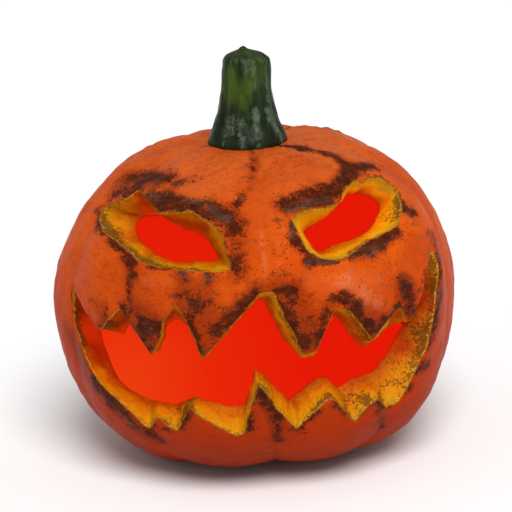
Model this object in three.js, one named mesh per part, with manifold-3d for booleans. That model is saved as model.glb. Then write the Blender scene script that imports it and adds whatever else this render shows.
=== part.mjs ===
// Carved pumpkin lantern: a hollow moulded shell with two slanting eyes and a toothed mouth cut
// through its wall, and a fluted moulded stem seated in the hollow of its crown.
// Millimetres, +Z up, standing on its flat bottom at z = 0, the face looking towards -Y.
// Azimuth is in degrees round from the front, growing towards +X; a level is a height above the
// widest part of the shell.
import * as THREE from 'three';
import { mergeVertices } from 'three/addons/utils/BufferGeometryUtils.js';
import Module from 'manifold-3d';

const wasm = await Module();
wasm.setup();

// The shell before its lobes: a superellipse turned round Z, one power above the widest level and
// a squarer one below it.
const BODY_RADIUS = 110;
const WIDEST_HEIGHT = 88; // widest level above the floor
const UPPER = { rise: 92, power: 2.55 };
const LOWER = { rise: 90, power: 3.0 };
const CROWN_HOLLOW = { depth: 7, width: 28 }; // where the stem sits
const WALL = 18;

// Lobes, parted by uneven grooves.
const GROOVES = [-176, -140, -108, -74, -41, 0, 38, 72, 107, 143];
const LOBE_DEPTH = 3;
const LOBE_MEAN = 0.75; // share of the depth by which the smooth shell is sunk
const LOBE_FADE = 60; // lobes and swells fade out inside this radius, at crown and bottom

// Swells and sculpted ridges, each a soft bulge along a line on the shell:
// [azimuth, level, azimuth, level, push outwards, spread].
const RELIEF = [
  [-95, 0, -95, 0, 5.5, 28], // fuller left side
  [92, 0, 92, 0, 2.5, 28],
  [92, -55, 92, -55, -3.8, 28], // flatter right side, above and below
  [92, 50, 92, 50, -3.6, 28],
  [-92, 55, -92, 55, -2.8, 28],
  [0, -80, 0, -80, -3, 28],
  [60, 70, 60, 70, 1.6, 28],
  [-60, 70, -60, 70, -1.4, 28],
  [-44, 76, -18, 71, 3, 7], // brows
  [14, 73, 32, 80, 3, 7],
  [-2, 62, -1, 42, 2.5, 8], // bridge of the nose
  [-38, 32, -22, 34, 2.5, 10], // cheeks
  [20, 32, 38, 34, 2.5, 10],
];

// Corners of the carved openings from left to right, along the upper edge and along the lower:
// [azimuth and height at the skin, azimuth and height at the inside of the wall].
const LEFT_EYE = {
  upper: [
    [-75, 150, -62, 155], [-72, 154, -61, 158], [-60, 159, -60, 160], [-58, 163, -58, 160],
    [-51, 162, -50, 162], [-39, 155, -42, 159], [-26, 156, -27, 155], [-20, 153, -23, 152],
    [-14, 147, -20, 147], [-11, 130, -17, 140],
  ],
  lower: [
    [-75, 150, -62, 155], [-68, 146, -60, 152], [-60, 142, -57, 149], [-53, 140, -53, 146],
    [-47, 137, -48, 143], [-41, 132, -43, 140], [-36, 131, -39, 138], [-26, 130, -33, 136],
    [-21, 129, -26, 138], [-15, 129, -19, 138], [-11, 130, -17, 140],
  ],
};
const RIGHT_EYE = {
  upper: [
    [9, 152, 16, 151], [12, 154, 18, 154], [24, 154, 25, 157], [28, 156, 32, 160],
    [35, 161, 41, 164], [42, 163, 50, 166], [44, 161, 53, 166], [48, 162, 58, 165],
    [54, 160, 63, 162], [57, 153, 64, 156],
  ],
  lower: [
    [9, 152, 16, 151], [10, 147, 17, 147], [11, 141, 18, 144], [13, 135, 19, 140],
    [17, 131, 21, 139], [22, 130, 25, 141], [26, 132, 30, 142], [29, 135, 33, 142],
    [37, 137, 40, 143], [44, 138, 46, 145], [50, 142, 53, 149], [54, 148, 60, 152],
    [57, 153, 64, 156],
  ],
};
const MOUTH = {
  upper: [
    [-75, 104, -80, 84], [-74, 108, -78, 88], [-64, 100, -68, 88],
    [-55, 91, -57, 84], [-52, 97, -55, 88], // first tooth
    [-47, 106, -53, 92], [-42, 94, -47, 86],
    [-36, 82, -40, 79], [-32, 94, -37, 87], // second
    [-31, 103, -36, 95], [-27, 112, -33, 99], [-26, 110, -31, 99], [-24, 104, -28, 96],
    [-20, 83, -23, 79], [-17, 89, -19, 85], // third
    [-3, 118, -4, 112], [1, 118, -2, 112], [3, 106, 0, 103], [6, 93, 4, 87],
    [8, 83, 10, 75], [12, 84, 14, 75], // fourth
    [14, 92, 17, 84], [16, 100, 19, 91], [18, 107, 22, 97], [22, 103, 24, 93], [26, 93, 27, 84],
    [29, 84, 33, 74], [35, 91, 42, 79], // fifth
    [41, 97, 47, 82], [43, 88, 49, 82], [46, 89, 50, 82], // sixth
    [48, 94, 51, 82], [51, 103, 52, 81], [54, 114, 53, 80], [60, 120, 54, 79], [63, 110, 55, 77],
  ],
  lower: [
    [-75, 104, -80, 84], [-73, 88, -78, 74], [-66, 73, -72, 64], [-62, 66, -69, 56],
    [-58, 59, -66, 50], [-51, 52, -60, 46], [-47, 47, -54, 44], [-42, 36, -48, 42],
    [-37, 46, -44, 43], [-34, 41, -40, 43], [-31, 39, -36, 43],
    [-25, 55, -28, 51], [-22, 50, -22, 49], [-16, 42, -17, 45], [-12, 37, -13, 45],
    [-10, 38, -10, 48], [-7, 57, -8, 58],
    [-5, 68, -6, 72], [-3, 64, -3, 67], [1, 50, 1, 58], [6, 38, 5, 48], // the tall middle tooth
    [10, 48, 9, 54], [15, 56, 15, 62], [17, 55, 18, 61], [21, 45, 22, 53], [24, 39, 24, 52],
    [28, 47, 28, 56], [32, 49, 32, 56], [37, 40, 38, 57], [41, 41, 41, 61], [44, 50, 43, 63],
    [48, 62, 46, 68], [52, 70, 48, 71], [57, 87, 51, 75], [59, 98, 53, 77], [63, 110, 55, 77],
  ],
};

// Stem: [height above the floor, mean radius, flute depth], from its foot inside the crown up to
// the shoulder, then a low cap with its tip off centre.
const STEM = [
  [168, 12, 0], [173, 20, 0.2], [175, 22.3, 0.2], [179, 22.1, 0.3], [184, 20.2, 0.4],
  [189, 17.8, 0.5], [194, 16, 0.5], [201, 14.6, 0.5], [210, 13.4, 0.5], [218, 12.9, 0.5],
  [222.5, 12.3, 0.5], [224.5, 10.2, 0.4], [227, 5, 0.2],
];
const STEM_FLUTES = 12;
const STEM_CREST = -11; // azimuth of one crest
const STEM_TIP = [-1.2, 0, 229.4];
const STEM_SHIFT = -1.2; // of its foot, along X
const STEM_LEAN = 2; // sideways drift at its top, towards +X
const SEAT_GAP = 0.3;

const rad = THREE.MathUtils.degToRad;
const turn = (degrees) => ((degrees % 360) + 540) % 360 - 180;

// Radius and level of the smooth shell at a polar angle from its crown.
function smoothShell(polar) {
  const c = Math.cos(polar), s = Math.max(Math.sin(polar), 0);
  const half = c > 0 ? UPPER : LOWER;
  const k = (Math.abs(c) ** half.power + s ** half.power) ** (-1 / half.power);
  const r = BODY_RADIUS * s * k;
  const hollow = c > 0 ? CROWN_HOLLOW.depth * Math.exp(-((r / CROWN_HOLLOW.width) ** 2)) : 0;
  return [r, half.rise * c * k - hollow];
}

// Outward normal of the smooth shell in its turning plane.
function shellNormal(polar) {
  const step = 1e-4;
  const [r0, z0] = smoothShell(Math.max(polar - step, 0));
  const [r1, z1] = smoothShell(Math.min(polar + step, Math.PI));
  const length = Math.hypot(r1 - r0, z1 - z0);
  return [(z0 - z1) / length, (r1 - r0) / length];
}

// Polar angle at which the smooth shell reaches a height above the floor.
function polarAt(height) {
  const level = height - WIDEST_HEIGHT;
  const half = level > 0 ? UPPER : LOWER;
  const v = level / half.rise;
  return Math.atan2((1 - Math.abs(v) ** half.power) ** (1 / half.power), v);
}

// How far across a lobe an azimuth lies, as a rounded hump: 0 in the grooves, 1 on the crests.
function lobe(azimuth) {
  const a = turn(azimuth);
  const next = GROOVES.findIndex((g) => g > a);
  const high = next < 0 ? GROOVES[0] + 360 : GROOVES[next];
  const low = next < 0 ? GROOVES.at(-1) : next === 0 ? GROOVES.at(-1) - 360 : GROOVES[next - 1];
  return Math.abs(Math.sin((Math.PI * (a - low)) / (high - low))) ** 0.75;
}

// Push of the swells and ridges at a point of the smooth shell.
function relief(azimuth, r, level) {
  let push = 0;
  for (const [a0, z0, a1, z1, height, spread] of RELIEF) {
    const from = new THREE.Vector2(r * rad(turn(a0 - azimuth)), z0 - level);
    const along = new THREE.Vector2(r * rad(a1 - a0), z1 - z0);
    const share = along.lengthSq() ? -from.dot(along) / along.lengthSq() : 0;
    const off = from.addScaledVector(along, THREE.MathUtils.clamp(share, 0, 1));
    push += height * Math.exp(-off.lengthSq() / (2 * spread * spread));
  }
  return push;
}

// Point of the shell pushed along its normal.
function pushed(azimuth, polar, push) {
  const [r, level] = smoothShell(polar);
  const [nr, nz] = shellNormal(polar);
  const reach = r + nr * push;
  return new THREE.Vector3(
    reach * Math.sin(rad(azimuth)), -reach * Math.cos(rad(azimuth)),
    WIDEST_HEIGHT + level + nz * push,
  );
}

// Point of the lobed skin, and of the plain inside of the wall.
function skin(azimuth, polar, extra = 0) {
  const [r, level] = smoothShell(polar);
  const fade = Math.min(r / LOBE_FADE, 1) ** 0.7;
  const push = fade * (LOBE_DEPTH * (lobe(azimuth) - LOBE_MEAN) + relief(azimuth, r, level));
  return pushed(azimuth, polar, push + extra);
}
const inside = (azimuth, polar) => pushed(azimuth, polar, -WALL);

// Closed mesh from triangles listed by vertex.
function solid(points, triangles) {
  const geometry = new THREE.BufferGeometry();
  geometry.setAttribute('position', new THREE.Float32BufferAttribute(
    points.flatMap((p) => p.toArray()), 3,
  ));
  geometry.setIndex(triangles.flat());
  return toManifold(geometry);
}

function toManifold(geometry) {
  geometry.deleteAttribute('normal');
  geometry.deleteAttribute('uv');
  const merged = mergeVertices(geometry);
  const body = new wasm.Manifold(new wasm.Mesh({
    numProp: 3,
    vertProperties: new Float32Array(merged.attributes.position.array),
    triVerts: new Uint32Array(merged.index.array),
  }));
  if (body.volume() <= 0) throw new Error('a solid is inside out or empty');
  return body;
}

// Solid of revolution-like rings: each ring is a list of points round +Z from the top ring down,
// closed by a point above and a point below.
function ringSolid(top, rings, bottom) {
  const count = rings[0].length;
  const points = [top, ...rings.flat(), bottom];
  const last = points.length - 1;
  const at = (ring, i) => 1 + ring * count + (i % count);
  const triangles = [];
  for (let i = 0; i < count; i += 1) {
    triangles.push([0, at(0, i), at(0, i + 1)]);
    for (let ring = 0; ring + 1 < rings.length; ring += 1) {
      triangles.push([at(ring, i), at(ring + 1, i), at(ring + 1, i + 1)]);
      triangles.push([at(ring, i), at(ring + 1, i + 1), at(ring, i + 1)]);
    }
    triangles.push([last, at(rings.length - 1, i + 1), at(rings.length - 1, i)]);
  }
  return solid(points, triangles);
}

// A whole shell surface as a solid, sampled at the given azimuths and evenly in polar angle.
function shellSolid(surface, azimuths, rows) {
  const rings = [];
  for (let row = 1; row < rows; row += 1) {
    rings.push(azimuths.map((azimuth) => surface(azimuth, (Math.PI * row) / rows)));
  }
  return ringSolid(surface(0, 0), rings, surface(0, Math.PI));
}

// Azimuths that always include the bottoms of the grooves.
function lobeAzimuths(steps) {
  return GROOVES.flatMap((groove, i) => {
    const next = i + 1 < GROOVES.length ? GROOVES[i + 1] : GROOVES[0] + 360;
    return Array.from({ length: steps }, (_, k) => groove + ((next - groove) * k) / steps);
  });
}

// Row of an edge at an azimuth between two of its corners.
function edgeAt(edge, azimuth) {
  const next = Math.max(edge.findIndex((corner) => corner[0] >= azimuth), 1);
  const [from, to] = [edge[next - 1], edge[next]];
  const share = (azimuth - from[0]) / (to[0] - from[0]);
  return from.map((value, i) => THREE.MathUtils.lerp(value, to[i], share));
}

// Cutter of one opening: straight cuts from the outline at the skin to the outline inside the
// wall, carried a little past both and then square away from the wall.
function openingCutter({ upper, lower }, past = 2, away = 22) {
  const azimuths = [...new Set([...upper, ...lower].map((corner) => corner[0]))];
  azimuths.sort((a, b) => a - b);
  const depths = ([azimuth, height, azimuthIn, heightIn]) => {
    const outer = skin(azimuth, polarAt(height));
    const inner = inside(azimuthIn, polarAt(heightIn));
    const way = outer.clone().sub(inner).normalize();
    const out = outer.addScaledVector(way, past);
    const within = inner.addScaledVector(way, -past);
    const normal = (a, h) => pushed(a, polarAt(h), 1).sub(pushed(a, polarAt(h), 0));
    return [
      out.clone().addScaledVector(normal(azimuth, height), away), out,
      within, within.clone().addScaledVector(normal(azimuthIn, heightIn), -away / 2),
    ];
  };
  const over = azimuths.map((azimuth) => depths(edgeAt(upper, azimuth)));
  const under = azimuths.map((azimuth) => depths(edgeAt(lower, azimuth)));
  under[0] = over[0];
  under[under.length - 1] = over.at(-1);
  const points = [...over.flat(), ...under.flat()];
  const n = azimuths.length;
  const top = (i, depth) => 4 * i + depth;
  const low = (i, depth) => (i === 0 || i === n - 1 ? top(i, depth) : 4 * (n + i) + depth);
  const triangles = [];
  const quad = (a, b, c, d) => triangles.push([a, b, c], [a, c, d]);
  for (let i = 0; i + 1 < n; i += 1) {
    for (let depth = 0; depth < 3; depth += 1) {
      quad(top(i, depth), top(i, depth + 1), top(i + 1, depth + 1), top(i + 1, depth));
      quad(low(i + 1, depth), low(i + 1, depth + 1), low(i, depth + 1), low(i, depth));
    }
    quad(top(i, 0), top(i + 1, 0), low(i + 1, 0), low(i, 0));
    quad(low(i, 3), low(i + 1, 3), top(i + 1, 3), top(i, 3));
  }
  const whole = triangles.filter((t) => new Set(t).size === 3).map((t) => [t[0], t[2], t[1]]);
  return solid(points, whole);
}

// Fluted stem, leaning slightly, its foot shaped later by the crown it sits on.
function stemSolid(columns = 60) {
  const foot = STEM[0][0];
  const tip = new THREE.Vector3(...STEM_TIP);
  const drift = (height) => STEM_SHIFT + STEM_LEAN * ((height - foot) / (tip.z - foot)) ** 1.5;
  const ring = ([height, radius, flute]) => Array.from({ length: columns }, (_, i) => {
    const azimuth = 360 / columns * i;
    const crest = Math.abs(Math.cos(rad(STEM_FLUTES / 2 * (azimuth - STEM_CREST)))) ** 0.8 - 0.6;
    const r = radius + 2 * flute * crest;
    return new THREE.Vector3(
      drift(height) + r * Math.sin(rad(azimuth)), -r * Math.cos(rad(azimuth)), height,
    );
  });
  tip.x += STEM_SHIFT + STEM_LEAN;
  return ringSolid(tip, STEM.map(ring).reverse(), new THREE.Vector3(STEM_SHIFT, 0, foot));
}

function toMesh(body, name, color, roughness) {
  const { numProp, vertProperties, triVerts } = body.getMesh();
  const geometry = new THREE.BufferGeometry();
  const positions = new Float32Array((vertProperties.length / numProp) * 3);
  for (let i = 0; i * numProp < vertProperties.length; i += 1) {
    positions.set(vertProperties.subarray(i * numProp, i * numProp + 3), 3 * i);
  }
  geometry.setAttribute('position', new THREE.BufferAttribute(positions, 3));
  geometry.setIndex(new THREE.BufferAttribute(new Uint32Array(triVerts), 1));
  const mesh = new THREE.Mesh(geometry, new THREE.MeshStandardMaterial({ color, roughness }));
  mesh.name = name;
  return mesh;
}

const floorBlock = new THREE.BoxGeometry(300, 300, 60);
floorBlock.translate(0, 0, -30);

const plainAzimuths = Array.from({ length: 40 }, (_, i) => -180 + 9 * i);
const crown = shellSolid((a, p) => skin(a, p, SEAT_GAP), lobeAzimuths(7), 32);
let shell = shellSolid(skin, lobeAzimuths(7), 32)
  .subtract(shellSolid(inside, plainAzimuths, 20))
  .subtract(toManifold(floorBlock));
for (const opening of [LEFT_EYE, RIGHT_EYE, MOUTH]) shell = shell.subtract(openingCutter(opening));

const lantern = new THREE.Group();
lantern.name = 'carved_pumpkin_lantern';
lantern.add(toMesh(shell, 'body', 0xc9501c, 0.55));
lantern.add(toMesh(stemSolid().subtract(crown), 'stem', 0x3c4b26, 0.35));
export default lantern;
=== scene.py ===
# %% [markdown]
# # Carved pumpkin lantern
# A moulded foam pumpkin, painted by hand and lit red inside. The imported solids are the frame: the
# visual keeps their shell, wall and openings and adds what a mould and a brush leave behind.
# Everything below is worked out in millimetres and written to Blender in metres.

# %% Load the frame
import math

import bpy
import numpy as np
from mathutils import Matrix, Vector
from mathutils.geometry import delaunay_2d_cdt


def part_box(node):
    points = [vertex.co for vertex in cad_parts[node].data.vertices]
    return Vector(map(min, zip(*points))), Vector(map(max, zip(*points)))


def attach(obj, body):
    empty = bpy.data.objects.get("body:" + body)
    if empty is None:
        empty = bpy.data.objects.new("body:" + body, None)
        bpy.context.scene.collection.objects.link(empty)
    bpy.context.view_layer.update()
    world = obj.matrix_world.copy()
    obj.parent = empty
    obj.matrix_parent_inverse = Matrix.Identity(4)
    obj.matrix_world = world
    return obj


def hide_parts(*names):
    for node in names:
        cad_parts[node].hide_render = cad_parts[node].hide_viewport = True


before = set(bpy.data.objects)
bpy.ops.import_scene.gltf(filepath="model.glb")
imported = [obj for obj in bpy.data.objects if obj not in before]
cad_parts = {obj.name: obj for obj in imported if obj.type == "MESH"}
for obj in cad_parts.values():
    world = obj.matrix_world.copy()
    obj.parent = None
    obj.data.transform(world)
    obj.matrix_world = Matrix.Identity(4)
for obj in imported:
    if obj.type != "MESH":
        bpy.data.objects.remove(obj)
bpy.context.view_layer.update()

body_low, body_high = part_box("body")
print("shell is", [round(1000 * (b - a)) for a, b in zip(body_low, body_high)], "mm")

# %% [markdown]
# ## The shell's shape
# A real copy is cast in a mould taken from a sculpted pumpkin. Scanning one would give its true
# surface, but a formula stays editable: a superellipse turned round Z, sunk along uneven grooves,
# with soft swells along short lines for the brows, the bridge of the nose and the cheeks. The
# frame's solids follow nearly the same formula, without the finer relief, so the visual stays close
# to them and every opening is where the frame has it.

# %% Shell dimensions
BODY_RADIUS = 110.0
WIDEST_HEIGHT = 88.0
UPPER = (92.0, 2.55)  # rise above the widest level, and the superellipse's power
LOWER = (90.0, 3.0)
HOLLOW = (7.0, 28.0)  # depth and width of the hollow round the stem
WALL = 18.0
GROOVES = np.array([-176, -140, -108, -74, -41, 0, 38, 72, 107, 143], float)
LOBE_DEPTH = 3.0  # from a groove to the crest beside it
LOBE_MEAN = 0.9  # share of that depth by which all of it is sunk
LOBE_FADE = 60.0  # radius inside which the lobes grow shallower towards the poles
STEM_RING = (20.0, 18.0)  # radius round the stem without lobes, and the width in which they begin
FINE_LEAST = 0.3  # share of the fine relief that is left on that ring
LIP = (3.5, 2.5)  # a raised lip's distance from an opening's edge, and its spread
EDGE_ROUND = (0.6, 0.8)  # how far the very edge is rounded off, and how fast that ends

# Azimuth and level of both ends of a line, push outwards, spread.
RELIEF = np.array([
    (-95, 0, -95, 0, 5.5, 28), (92, 0, 92, 0, 2.5, 28), (92, -55, 92, -55, -3.8, 28),
    (92, 50, 92, 50, -3.6, 28), (-92, 55, -92, 55, -2.8, 28), (0, -80, 0, -80, -3, 28),
    (60, 70, 60, 70, 1.6, 28), (-60, 70, -60, 70, -1.4, 28),
    (-44, 76, -18, 71, 3, 7), (14, 73, 32, 80, 3, 7), (-2, 62, -1, 42, 2.5, 8),
    (-38, 32, -22, 34, 2.5, 10), (20, 32, 38, 34, 2.5, 10),
], float)

FINE_RELIEF = np.array([  # the same, for what only shows close up
    (-45, 76, -20, 71, 0.9, 2.5), (12, 71, 24, 71, 0.8, 2.2), (-1, 60, -1, 42, 0.7, 2.5),
    (-30, 89.5, 30, 89.5, -1.4, 7), (133, 88.4, 125, 82.4, 1.2, 1.6), (9, 62, 8, 46, 0.7, 1.6),
    (24, 41, 40, 46, 0.7, 2.5), (-26, 39, -14, 38, 0.5, 2), (-118, 78, -72, 78, 0.7, 9),
], float)
print("bulges:", len(RELIEF), "broad and", len(FINE_RELIEF), "fine")


# %% Shell formula
def smooth_shell(polar):
    """Radius and level of the shell without lobes.

    A superellipse: |x|^p + |y|^p is the same all round. Above, a Gaussian hollow is taken off its
    level round the stem.
    """
    c, s = np.cos(polar), np.maximum(np.sin(polar), 0.0)
    rise = np.where(c > 0, UPPER[0], LOWER[0])
    power = np.where(c > 0, UPPER[1], LOWER[1])
    k = (np.abs(c) ** power + s ** power) ** (-1 / power)
    r = BODY_RADIUS * s * k
    hollow = np.where(c > 0, HOLLOW[0] * np.exp(-(r / HOLLOW[1]) ** 2), 0.0)
    return r, rise * c * k - hollow


def shell_normal(polar):
    """Outward normal in the turning plane, from the slope between two near points."""
    r0, z0 = smooth_shell(np.maximum(polar - 1e-4, 0.0))
    r1, z1 = smooth_shell(np.minimum(polar + 1e-4, np.pi))
    length = np.hypot(r1 - r0, z1 - z0)
    return (z0 - z1) / length, (r1 - r0) / length


def polar_at(height):
    """Polar angle where the shell reaches a height above the floor."""
    level = np.asarray(height, float) - WIDEST_HEIGHT
    rise = np.where(level > 0, UPPER[0], LOWER[0])
    power = np.where(level > 0, UPPER[1], LOWER[1])
    v = np.clip(level / rise, -0.999999, 0.999999)
    return np.arctan2((1 - np.abs(v) ** power) ** (1 / power), v)


def turned(degrees):
    """The same azimuth between -180 and 180."""
    return (np.asarray(degrees, float) + 180.0) % 360.0 - 180.0


def lobe(azimuth):
    """0 in the grooves and 1 on the crests: half a sine wave between neighbours, to the power 0.75."""
    edges = np.r_[GROOVES, GROOVES[0] + 360]
    a = (np.asarray(azimuth, float) - edges[0]) % 360.0 + edges[0]
    k = np.clip(np.searchsorted(edges, a, side="right") - 1, 0, len(edges) - 2)
    return np.abs(np.sin(np.pi * (a - edges[k]) / (edges[k + 1] - edges[k]))) ** 0.75


def along_lines(lines, azimuth, r, level):
    """Sum of soft bulges: each falls off as a Gaussian of the distance over the shell to its line."""
    total = np.zeros(np.broadcast(azimuth, level).shape)
    for a0, z0, a1, z1, push, spread in lines:
        x, z = r * np.radians(turned(a0 - azimuth)), z0 - level
        dx, dz = r * np.radians(a1 - a0), z1 - z0
        length = np.maximum(dx * dx + dz * dz, 1e-9)
        share = np.clip(-(x * dx + z * dz) / length, 0, 1)
        gap2 = (x + share * dx) ** 2 + (z + share * dz) ** 2
        total += push * np.exp(-gap2 / (2 * spread**2))
    return total


def pushed(azimuth, polar, push):
    """Points of the smooth shell moved along its normal."""
    r, level = smooth_shell(polar)
    nr, nz = shell_normal(polar)
    reach, a = r + nr * push, np.radians(azimuth)
    return np.stack([reach * np.sin(a), -reach * np.cos(a), WIDEST_HEIGHT + level + nz * push], -1)


def waves(points, size, seed, count=22):
    """Smooth seeded lumps of about one size: sine waves in random directions, added up."""
    rng = np.random.default_rng(seed)
    way = rng.normal(size=(count, 3))
    lengths = size * rng.uniform(0.7, 1.5, count)
    way *= (2 * np.pi / lengths / np.linalg.norm(way, axis=1))[:, None]
    phase = rng.uniform(0, 2 * np.pi, count)
    return np.sin(points @ way.T + phase).sum(-1) / math.sqrt(count / 2)


def skin(azimuth, polar, near_edge=None):
    """Points of the lobed skin: the smooth shell pushed out along its normal by the sum of lobes,
    swells, hand-sculpted lumps and, where an opening is near, a lip that ends in a rounded edge."""
    r, level = smooth_shell(polar)
    fade = np.minimum(r / LOBE_FADE, 1) ** 0.7
    fade = fade * np.where(level > 0, np.clip((r - STEM_RING[0]) / STEM_RING[1], 0, 1), 1)
    push = fade * (LOBE_DEPTH * (lobe(azimuth) - LOBE_MEAN) + along_lines(RELIEF, azimuth, r, level))
    plain = pushed(azimuth, polar, push)
    push = push + fade * (0.2 * waves(plain, 34, 1) + 0.12 * waves(plain, 11, 2))
    detail = np.maximum(fade, FINE_LEAST) * along_lines(FINE_RELIEF, azimuth, r, level)
    push = push + detail * (1 + 0.35 * waves(plain, 6, 4))
    if near_edge is not None:
        lip = np.exp(-(((near_edge - LIP[0]) / LIP[1]) ** 2)) * (0.3 + 0.25 * waves(plain, 16, 3))
        push = push + lip - EDGE_ROUND[0] * np.exp(-near_edge / EDGE_ROUND[1])
    points = pushed(azimuth, polar, push)
    points[..., 2] = np.maximum(points[..., 2], 0.0)
    return points


print("grooves at", GROOVES.astype(int).tolist())

# %% [markdown]
# ## The carved openings
# On the real copy the openings are part of the mould and are trimmed with a knife, so each cut
# runs straight through the wall from an outline on the skin to a smaller one inside. They could be
# cut with booleans; here the outlines are kept as lists of corners instead, because the shell can
# then be meshed right up to them and the cut faces built as their own strips.

# %% Corners of the openings
# Azimuth and height at the skin, then at the inside of the wall; left to right, upper then lower.
LEFT_EYE = (
    [(-75, 150, -62, 155), (-72, 154, -61, 158), (-60, 159, -60, 160), (-58, 163, -58, 160),
     (-51, 162, -50, 162), (-39, 155, -42, 159), (-26, 156, -27, 155), (-20, 153, -23, 152),
     (-14, 147, -20, 147), (-11, 130, -17, 140)],
    [(-75, 150, -62, 155), (-68, 146, -60, 152), (-60, 142, -57, 149), (-53, 140, -53, 146),
     (-47, 137, -48, 143), (-41, 132, -43, 140), (-36, 131, -39, 138), (-26, 130, -33, 136),
     (-21, 129, -26, 138), (-15, 129, -19, 138), (-11, 130, -17, 140)],
)
RIGHT_EYE = (
    [(9, 152, 16, 151), (12, 154, 18, 154), (24, 154, 25, 157), (28, 156, 32, 160),
     (35, 161, 41, 164), (42, 163, 50, 166), (44, 161, 53, 166), (48, 162, 58, 165),
     (54, 160, 63, 162), (57, 153, 64, 156)],
    [(9, 152, 16, 151), (10, 147, 17, 147), (11, 141, 18, 144), (13, 135, 19, 140),
     (17, 131, 21, 139), (22, 130, 25, 141), (26, 132, 30, 142), (29, 135, 33, 142),
     (37, 137, 40, 143), (44, 138, 46, 145), (50, 142, 53, 149), (54, 148, 60, 152),
     (57, 153, 64, 156)],
)
MOUTH = (
    [(-75, 104, -80, 84), (-74, 108, -78, 88), (-64, 100, -68, 88), (-55, 91, -57, 84),
     (-52, 97, -55, 88), (-47, 106, -53, 92), (-42, 94, -47, 86), (-36, 82, -40, 79),
     (-32, 94, -37, 87), (-31, 103, -36, 95), (-27, 112, -33, 99), (-26, 110, -31, 99),
     (-24, 104, -28, 96), (-20, 83, -23, 79), (-17, 89, -19, 85), (-3, 118, -4, 112),
     (1, 118, -2, 112), (3, 106, 0, 103), (6, 93, 4, 87), (8, 83, 10, 75), (12, 84, 14, 75),
     (14, 92, 17, 84), (16, 100, 19, 91), (18, 107, 22, 97), (22, 103, 24, 93), (26, 93, 27, 84),
     (29, 84, 33, 74), (35, 91, 42, 79), (41, 97, 47, 82), (43, 88, 49, 82), (46, 89, 50, 82),
     (48, 94, 51, 82), (51, 103, 52, 81), (54, 114, 53, 80), (60, 120, 54, 79), (63, 110, 55, 77)],
    [(-75, 104, -80, 84), (-73, 88, -78, 74), (-66, 73, -72, 64), (-62, 66, -69, 56),
     (-58, 59, -66, 50), (-51, 52, -60, 46), (-47, 47, -54, 44), (-42, 36, -48, 42),
     (-37, 46, -44, 43), (-34, 41, -40, 43), (-31, 39, -36, 43), (-25, 55, -28, 51),
     (-22, 50, -22, 49), (-16, 42, -17, 45), (-12, 37, -13, 45), (-10, 38, -10, 48),
     (-7, 57, -8, 58), (-5, 68, -6, 72), (-3, 64, -3, 67), (1, 50, 1, 58), (6, 38, 5, 48),
     (10, 48, 9, 54), (15, 56, 15, 62), (17, 55, 18, 61), (21, 45, 22, 53), (24, 39, 24, 52),
     (28, 47, 28, 56), (32, 49, 32, 56), (37, 40, 38, 57), (41, 41, 41, 61), (44, 50, 43, 63),
     (48, 62, 46, 68), (52, 70, 48, 71), (57, 87, 51, 75), (59, 98, 53, 77), (63, 110, 55, 77)],
)
CUT_STEP = 1.2  # spacing along an outline
WOBBLE = (0.09, 0.17, 0.08, 0.15)  # how far the knife wanders, in each of a corner's four numbers
print("corners:", [len(upper) + len(lower) - 2 for upper, lower in (LEFT_EYE, RIGHT_EYE, MOUTH)])


# %% Outlines from corners
def outline(edges, seed):
    """A closed loop of evenly spaced rows like the corners': joined by straight cuts, softened by a
    weighted mean of each row and its neighbours, with small waves for the knife's wobble."""
    rows = np.array(edges[0] + edges[1][-2:0:-1], float)
    rows = np.vstack([rows, rows[:1]])
    at_skin = pushed(rows[:, 0], polar_at(rows[:, 1]), 0.0)
    run = np.r_[0, np.cumsum(np.linalg.norm(np.diff(at_skin, axis=0), axis=1))]
    stations = np.linspace(0, run[-1], int(run[-1] / CUT_STEP), endpoint=False)
    loop = np.stack([np.interp(stations, run, column) for column in rows.T], -1)
    loop = (np.roll(loop, 1, 0) + 3 * loop + np.roll(loop, -1, 0)) / 5
    spot = pushed(loop[:, 0], polar_at(loop[:, 1]), 0.0)
    inner_spot = pushed(loop[:, 2], polar_at(loop[:, 3]), -WALL)
    for column, base in enumerate((spot, spot, inner_spot, inner_spot)):
        wander = waves(base, 9, seed + column) + 0.7 * waves(base, 4, seed + 7 + column)
        loop[:, column] += WOBBLE[column] * wander
    return loop


outlines = [outline(LEFT_EYE, 20), outline(RIGHT_EYE, 40), outline(MOUTH, 60)]
print("outline stations:", [len(o) for o in outlines])

# %% [markdown]
# ## One closed shell
# The front, where the face is, needs edges that follow the outlines. Its points lie on a fine grid
# over the unrolled shell, those inside an opening or too near its edge are left out, and the rest
# are joined by a constrained triangulation. The plain back keeps its grid. The cut faces and the
# inside share the outlines' points, so the shell is one closed surface with three paints.
# Unrolled, a point is its azimuth and its arc length from the top pole down the profile.

# %% Meshing helpers
DEGREE = np.pi / 180 * BODY_RADIUS  # millimetres per degree at the widest level
fine = np.linspace(0, np.pi, 4000)
fine_r, fine_z = smooth_shell(fine)
arc = np.r_[0, np.cumsum(np.hypot(np.diff(fine_r), np.diff(fine_z)))]
print("profile from pole to pole:", round(arc[-1]), "mm")


def arc_at(polar):
    """Arc length from the top pole down to a polar angle."""
    return np.interp(polar, fine, arc)


def polar_of(length):
    """Polar angle at an arc length from the top pole."""
    return np.interp(length, arc, fine)


def inside_loop(points, loop):
    """Even-odd test of points against a closed loop, all at once."""
    x, y = points[:, :1], points[:, 1:]
    x0, y0 = loop.T
    x1, y1 = np.roll(loop, -1, 0).T
    crosses = (y0 > y) != (y1 > y)
    where = x0 + (y - y0) * (x1 - x0) / np.where(y1 == y0, 1e-12, y1 - y0)
    return ((crosses & (x < where)).sum(1) % 2).astype(bool)


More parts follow.
